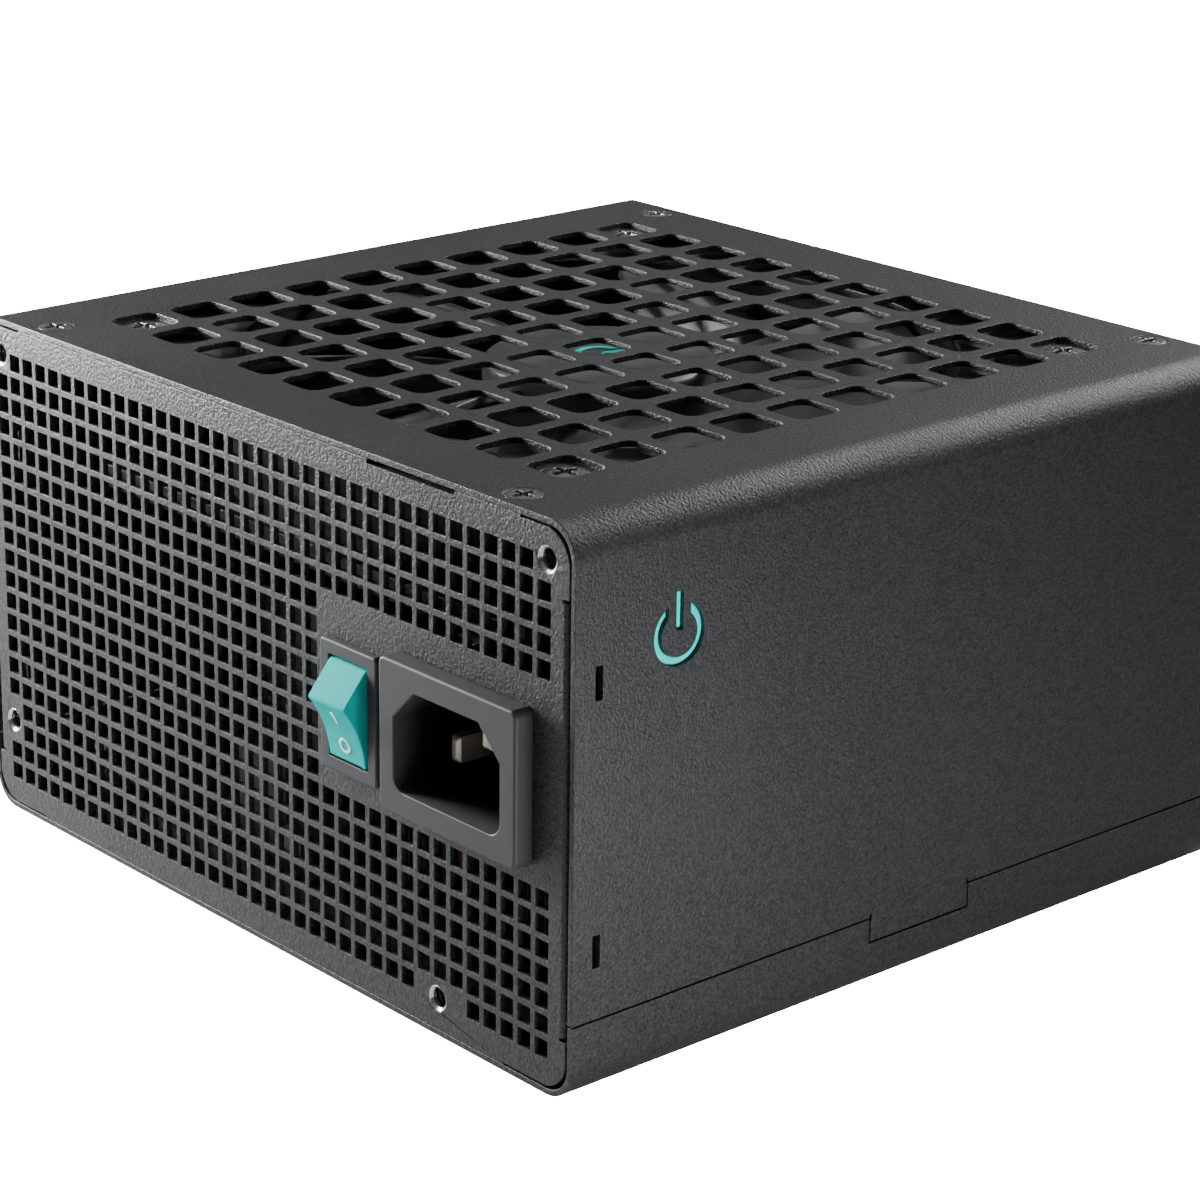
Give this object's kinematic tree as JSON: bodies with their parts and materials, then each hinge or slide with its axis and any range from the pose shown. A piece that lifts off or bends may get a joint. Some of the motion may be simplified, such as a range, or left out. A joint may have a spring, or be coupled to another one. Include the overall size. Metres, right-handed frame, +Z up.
{
  "type": "power supply unit",
  "caption": "Computer power supply in a black perforated steel case, with a mains inlet, a cyan rocker switch, a fan under a square-hole grille and modular output sockets.",
  "frame": {"origin": "centre of the flat underside", "axes": "+Z up, through the fan; -Y out of the panel with the mains inlet; +Y out of the output sockets; +X to the right as seen from the inlet side"},
  "size_m": [0.15, 0.1463, 0.0861],
  "materials": {
    "shell_paint": "matte",
    "bare_steel": "satin",
    "blade_metal": "polished",
    "black_screws": "satin",
    "zinc_screws": "satin",
    "cyan_plastic": "satin",
    "cyan_mark": "gloss",
    "symbol_white": "matte",
    "grey_plastic": "satin",
    "black_plastic": "satin",
    "impeller_plastic": "satin",
    "magnet": "matte",
    "bronze": "satin",
    "core_steel": "matte",
    "copper_wire": "gloss",
    "copper_bar": "satin",
    "board_green": "satin",
    "insulating_film": "satin",
    "film_box": "satin",
    "fuse_body": "satin",
    "thermistor_green": "satin",
    "ferrite": "matte",
    "winding_tape": "satin",
    "epoxy_black": "matte",
    "sink_aluminium": "satin",
    "can_sleeve": "gloss"
  },
  "bodies": {
    "case": {"base_tray": "shell_paint", "board_screws": "zinc_screws", "board_standoffs": "bare_steel", "boost_choke_core": "ferrite", "boost_choke_winding": "copper_wire", "bridge_rectifier": "epoxy_black", "bulk_capacitors": "can_sleeve", "bus_bars": "copper_bar", "control_board": "board_green", "converter_board": "board_green", "cover": "shell_paint", "cover_screws": "black_screws", "fan_bearing": "bronze", "fan_board": "board_green", "fan_coils": "copper_wire", "fan_frame": "black_plastic", "fan_screws": "black_screws", "fan_stator": "core_steel", "film_capacitors": "film_box", "filter_choke_cores": "ferrite", "filter_choke_windings": "copper_wire", "front_panel": "shell_paint", "fuse": "fuse_body", "inlet_board": "board_green", "inlet_housing": "grey_plastic", "inlet_pins": "blade_metal", "inrush_relay": "black_plastic", "insulating_sheet": "insulating_film", "main_board": "board_green", "main_transformer_core": "ferrite", "main_transformer_winding": "winding_tape", "mounting_nuts": "bare_steel", "output_capacitors": "can_sleeve", "output_choke_cores": "ferrite", "output_choke_windings": "copper_wire", "power_transistors": "epoxy_black", "primary_heatsink": "sink_aluminium", "rear_panel": "shell_paint", "secondary_heatsink": "sink_aluminium", "side_mark": "cyan_mark", "socket_24_pin": "black_plastic", "socket_board": "board_green", "socket_pins": "blade_metal", "sockets_6_pin": "black_plastic", "sockets_8_pin": "black_plastic", "standby_transformer_core": "ferrite", "standby_transformer_winding": "winding_tape", "switch_housing": "grey_plastic", "switch_terminals": "bare_steel", "thermistor": "thermistor_green"},
    "fan_rotor": {"fan_impeller": "impeller_plastic", "fan_hub_mark": "cyan_mark", "fan_magnet_ring": "magnet", "fan_shaft": "bare_steel"},
    "rocker": {"switch_rocker": "cyan_plastic", "rocker_symbols": "symbol_white", "switch_plunger": "black_plastic"},
    "contact": {"contact_lever": "copper_bar"}
  },
  "joints": [
    {"name": "fan_spin", "type": "hinge", "parent": "case", "child": "fan_rotor", "pos_m": [0, 0, 0.072], "axis": [0, 0, 1], "continuous": true},
    {"name": "rocker_tilt", "type": "hinge", "parent": "case", "child": "rocker", "pos_m": [0.0257, -0.0667, 0.0454], "axis": [-1, 0, 0], "range_deg": [0, 44]},
    {"name": "contact_tilt", "type": "hinge", "parent": "case", "child": "contact", "pos_m": [0.0257, -0.0591, 0.0454], "axis": [1, 0, 0], "range_deg": [0, 16]}
  ],
  "couplings": [
    {"joint": "contact_tilt", "follows": "rocker_tilt", "ratio": 0.36363}
  ]
}
